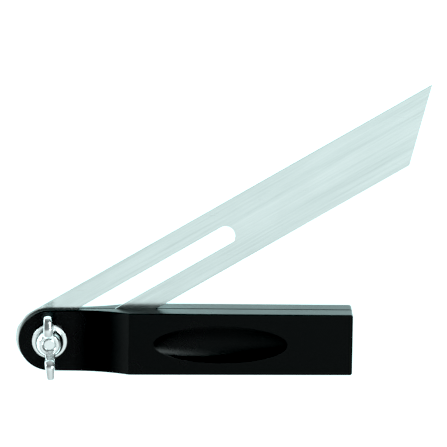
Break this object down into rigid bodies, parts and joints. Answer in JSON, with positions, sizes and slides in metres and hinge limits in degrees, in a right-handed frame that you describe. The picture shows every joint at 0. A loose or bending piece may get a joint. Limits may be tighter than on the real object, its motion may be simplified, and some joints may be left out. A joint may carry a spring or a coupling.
{
  "type": "sliding t-bevel",
  "caption": "Bevel gauge for copying angles: a slotted steel blade turns and slides on a bolt in the round head of a moulded handle and is clamped by a wing nut.",
  "frame": {"origin": "middle of the footprint of the tool lying on the back of its grip with the blade open, on the surface it lies on", "axes": "+X along the handle from its round head to its butt, +Y in the plane of the blade towards the side the blade opens to, +Z along the pivot bolt towards the wing nut"},
  "size_m": [0.2046, 0.147, 0.0326],
  "materials": {
    "black_plastic": "satin moulded, nearly black",
    "blade_steel": "lengthwise brushed, fine scratches",
    "plated_steel": "bright plated",
    "nylon": "natural nylon, hidden between the cheeks"
  },
  "bodies": {
    "handle": {"handle_front_half": "black_plastic", "handle_back_half": "black_plastic", "pivot_bolt": "plated_steel"},
    "friction_washers": {"friction_washer_front": "nylon", "friction_washer_back": "nylon"},
    "blade": {"blade": "blade_steel"},
    "washer": {"flat_washer": "plated_steel"},
    "nut": {"wing_nut": "plated_steel"}
  },
  "joints": [
    {"name": "blade_swing", "type": "hinge", "parent": "handle", "child": "friction_washers", "pos_m": [-0.08537, -0.05678, 0.01], "axis": [0, 0, 1], "range_deg": [-27.5, 285]},
    {"name": "blade_slide", "type": "slide", "parent": "friction_washers", "child": "blade", "axis": [0.8603, 0.5098, 0], "range_m": [-0.1015, 0.0008]},
    {"name": "washer_lift", "type": "slide", "parent": "handle", "child": "washer", "axis": [0, 0, 1], "range_m": [0, 0.0013]},
    {"name": "nut_turn", "type": "hinge", "parent": "washer", "child": "nut", "pos_m": [-0.08537, -0.05678, 0.01], "axis": [0, 0, 1], "range_deg": [0, 450]}
  ],
  "couplings": [
    {"joint": "washer_lift", "follows": "nut_turn", "m_per_rad": 0.00015915}
  ]
}
